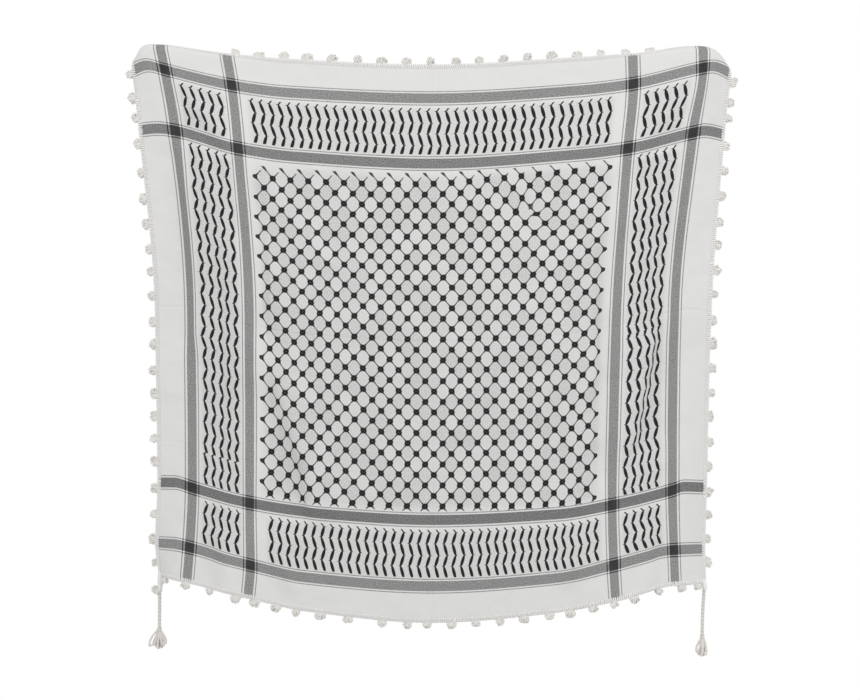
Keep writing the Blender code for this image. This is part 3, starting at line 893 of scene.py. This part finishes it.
def make_edging(side, look):
    """Yarn worked over the raw edge in slanted stitches, with a chain along its inner side."""
    random = np.random.default_rng({"top": 21, "bottom": 22, "left": 23, "right": 24}[side])
    length = WIDTH if side in ("top", "bottom") else HEIGHT
    ends = 0.001 if side in ("top", "bottom") else 0.006
    pitch = STITCH_PITCH
    stitches = int((length - 2 * ends) / pitch)
    starts = ends + pitch * (np.arange(stitches) + 0.5) + random.normal(0, 0.0003, stitches)
    t = np.linspace(0, 1, 11)
    turn = 2 * math.pi * t
    # One wrap: from the inner side over the face to the outer edge, and back behind
    uneven = 1 + random.normal(0, 0.05, (stitches, 1))
    beyond = -0.0046 + STITCH_REACH * np.cos(turn + math.pi) * uneven
    lift = 0.00125 * np.sin(turn)[None] * np.ones((stitches, 1))
    slant = starts[:, None] + pitch * 1.5 * (t - 0.5)[None]
    across, down = side_frame(side, slant, beyond)
    paths = hanging_point(across, down) - facing(across, down) * lift[..., None]
    radii = np.full(paths.shape[:2], STITCH_RADIUS)
    wraps = tubes(paths, radii, 6, unit(hanging_along(side, starts, length)))
    # Two running yarns, one at the rim and one along the inner side of the face
    run = np.linspace(ends, length - ends, 3 * stitches)
    wave = np.sin(run / pitch * math.pi)
    shapes = [wraps]
    for at, lifted in ((-0.0015, 0.0004), (-0.0078, 0.0011)):
        across, down = side_frame(side, run, at + 0.0007 * wave)
        path = hanging_point(across, down) - facing(across, down) * lifted
        reference = np.array([[0.0, 1.0, 0.05]])
        shapes.append(tubes(path[None], np.full((1, len(run)), RUNNING_RADIUS), 6, reference))
    if side in NECKS:
        (_, across, down, below, *_), reach, first, last = NECKS[side]
        t = np.linspace(0, 1, 12)
        top = hanging_point(across, down) - np.array([0, 0, below])
        inward = 0.004 * (1 - t) ** 2 * (1 if side == "left" else -1)
        path = top + np.stack([inward, 0 * t, 0.009 - (reach + 0.009) * t], axis=1)
        radii = last + (first - last) * (1 - t) ** 1.4
        radii[0] *= 0.5
        shapes.append(tubes(path[None], radii[None], 14, np.array([[0.0, 1.0, 0.0]])))
    name = f"edging_{side}"
    return piece_of(name, *joined(shapes), look, "edging_yarn", [name])


def hanging_along(side, along, length):
    """The direction of a side at places along it."""
    step = 0.002
    ahead = hanging_point(*side_frame(side, np.minimum(along + step, length), -0.004))
    behind = hanging_point(*side_frame(side, np.maximum(along - step, 0), -0.004))
    return ahead - behind


def tuft(random, centre, outward, along, front, reach, width, flat):
    """One tuft: two lobes of small yarn loops fanned out from where they are knotted."""
    loops = 26
    t = np.linspace(0, 1, 9)
    belly = np.sin(math.pi * t)
    paths = []
    for loop in range(loops):
        lobe = -1 if loop % 2 else 1
        fan = lobe * random.uniform(0.15, 1.15)
        tip = random.uniform(0.70, 1.08) * reach
        lean = random.uniform(-1, 1) * flat
        heading = outward * math.cos(fan) + along * math.sin(fan) * width + front * lean
        cross = unit(np.cross(heading, along * 0.4 + front + 0.3 * outward))
        open_by = random.uniform(0.15, 0.30) * reach
        path = centre + belly[:, None] * tip * heading
        path = path + (np.sin(2 * math.pi * t) * open_by)[:, None] * cross
        path = path + random.normal(0, 0.0004, (9, 3))
        paths.append(path)
    return np.array(paths)


def make_tufts(side, look):
    random = np.random.default_rng({"top": 31, "bottom": 32, "left": 33, "right": 34}[side])
    first, gaps = TUFT_GAPS[side]
    places = first + np.concatenate([[0], np.cumsum(gaps)])
    length = WIDTH if side in ("top", "bottom") else HEIGHT
    places = places[places < length - 0.018]
    paths = []
    for place in places:
        across, down = side_frame(side, place, -0.0005)
        centre = hanging_point(across, down)
        beyond = hanging_point(*side_frame(side, place, 0.004))
        outward = unit(beyond - centre)
        if side == "top":
            # Near the corners the tufts have fallen behind the cloth; the others stand up
            fallen = place < TUFTS_STAND[0] or place > TUFTS_STAND[1]
            outward = FALLEN if fallen else unit(outward + UPRIGHT)
        front = -facing(across, down)
        along = unit(np.cross(outward, front))
        reach = random.uniform(0.0115, 0.0145)
        flat = random.uniform(0.32, 0.5)
        paths.append(tuft(random, centre, outward, along, front, reach, random.uniform(0.6, 0.95), flat))
    if side == "left":
        # One more tuft is worked round the lower left cord
        _, across, down, below, *_ = TASSELS[0]
        knot = hanging_point(across, down) - np.array([0.003, 0, below + 0.024])
        ways = [np.array(way, float) for way in ((-0.8, 0, -0.6), (-0.6, 0, 0.8), (0, -1, 0))]
        paths.append(tuft(random, knot, *ways, 0.014, 0.8, 0.5))
    paths = np.concatenate(paths)
    reference = unit(np.cross(paths[:, 4] - paths[:, 0], paths[:, 2] - paths[:, 6]))
    radii = TUFT_YARN_RADIUS * np.ones(paths.shape[:2]) * random.uniform(0.8, 1.2, (len(paths), 1))
    name = f"bobbles_{side}"
    return piece_of(name, *tubes(paths, radii, 5, reference), look, "tuft_yarn", [name])


make_camera()
make_tassels(yarn_look("Tassel cord", (0.80, 0.765, 0.73), (0.66, 0.63, 0.585), 220, 0.0003))
make_studio()
cloth = make_cloth(cloth_look())
edging_yarn = yarn_look("Edging yarn", (0.88, 0.875, 0.86), (0.80, 0.79, 0.77), 260, 0.0002)
tuft_yarn = yarn_look("Tuft yarn", (0.85, 0.83, 0.80), (0.74, 0.72, 0.685), 300, 0.0003)
trims = [make_edging(side, edging_yarn) for side in ("top", "bottom", "left", "right")]
trims += [make_tufts(side, tuft_yarn) for side in ("top", "bottom", "left", "right")]
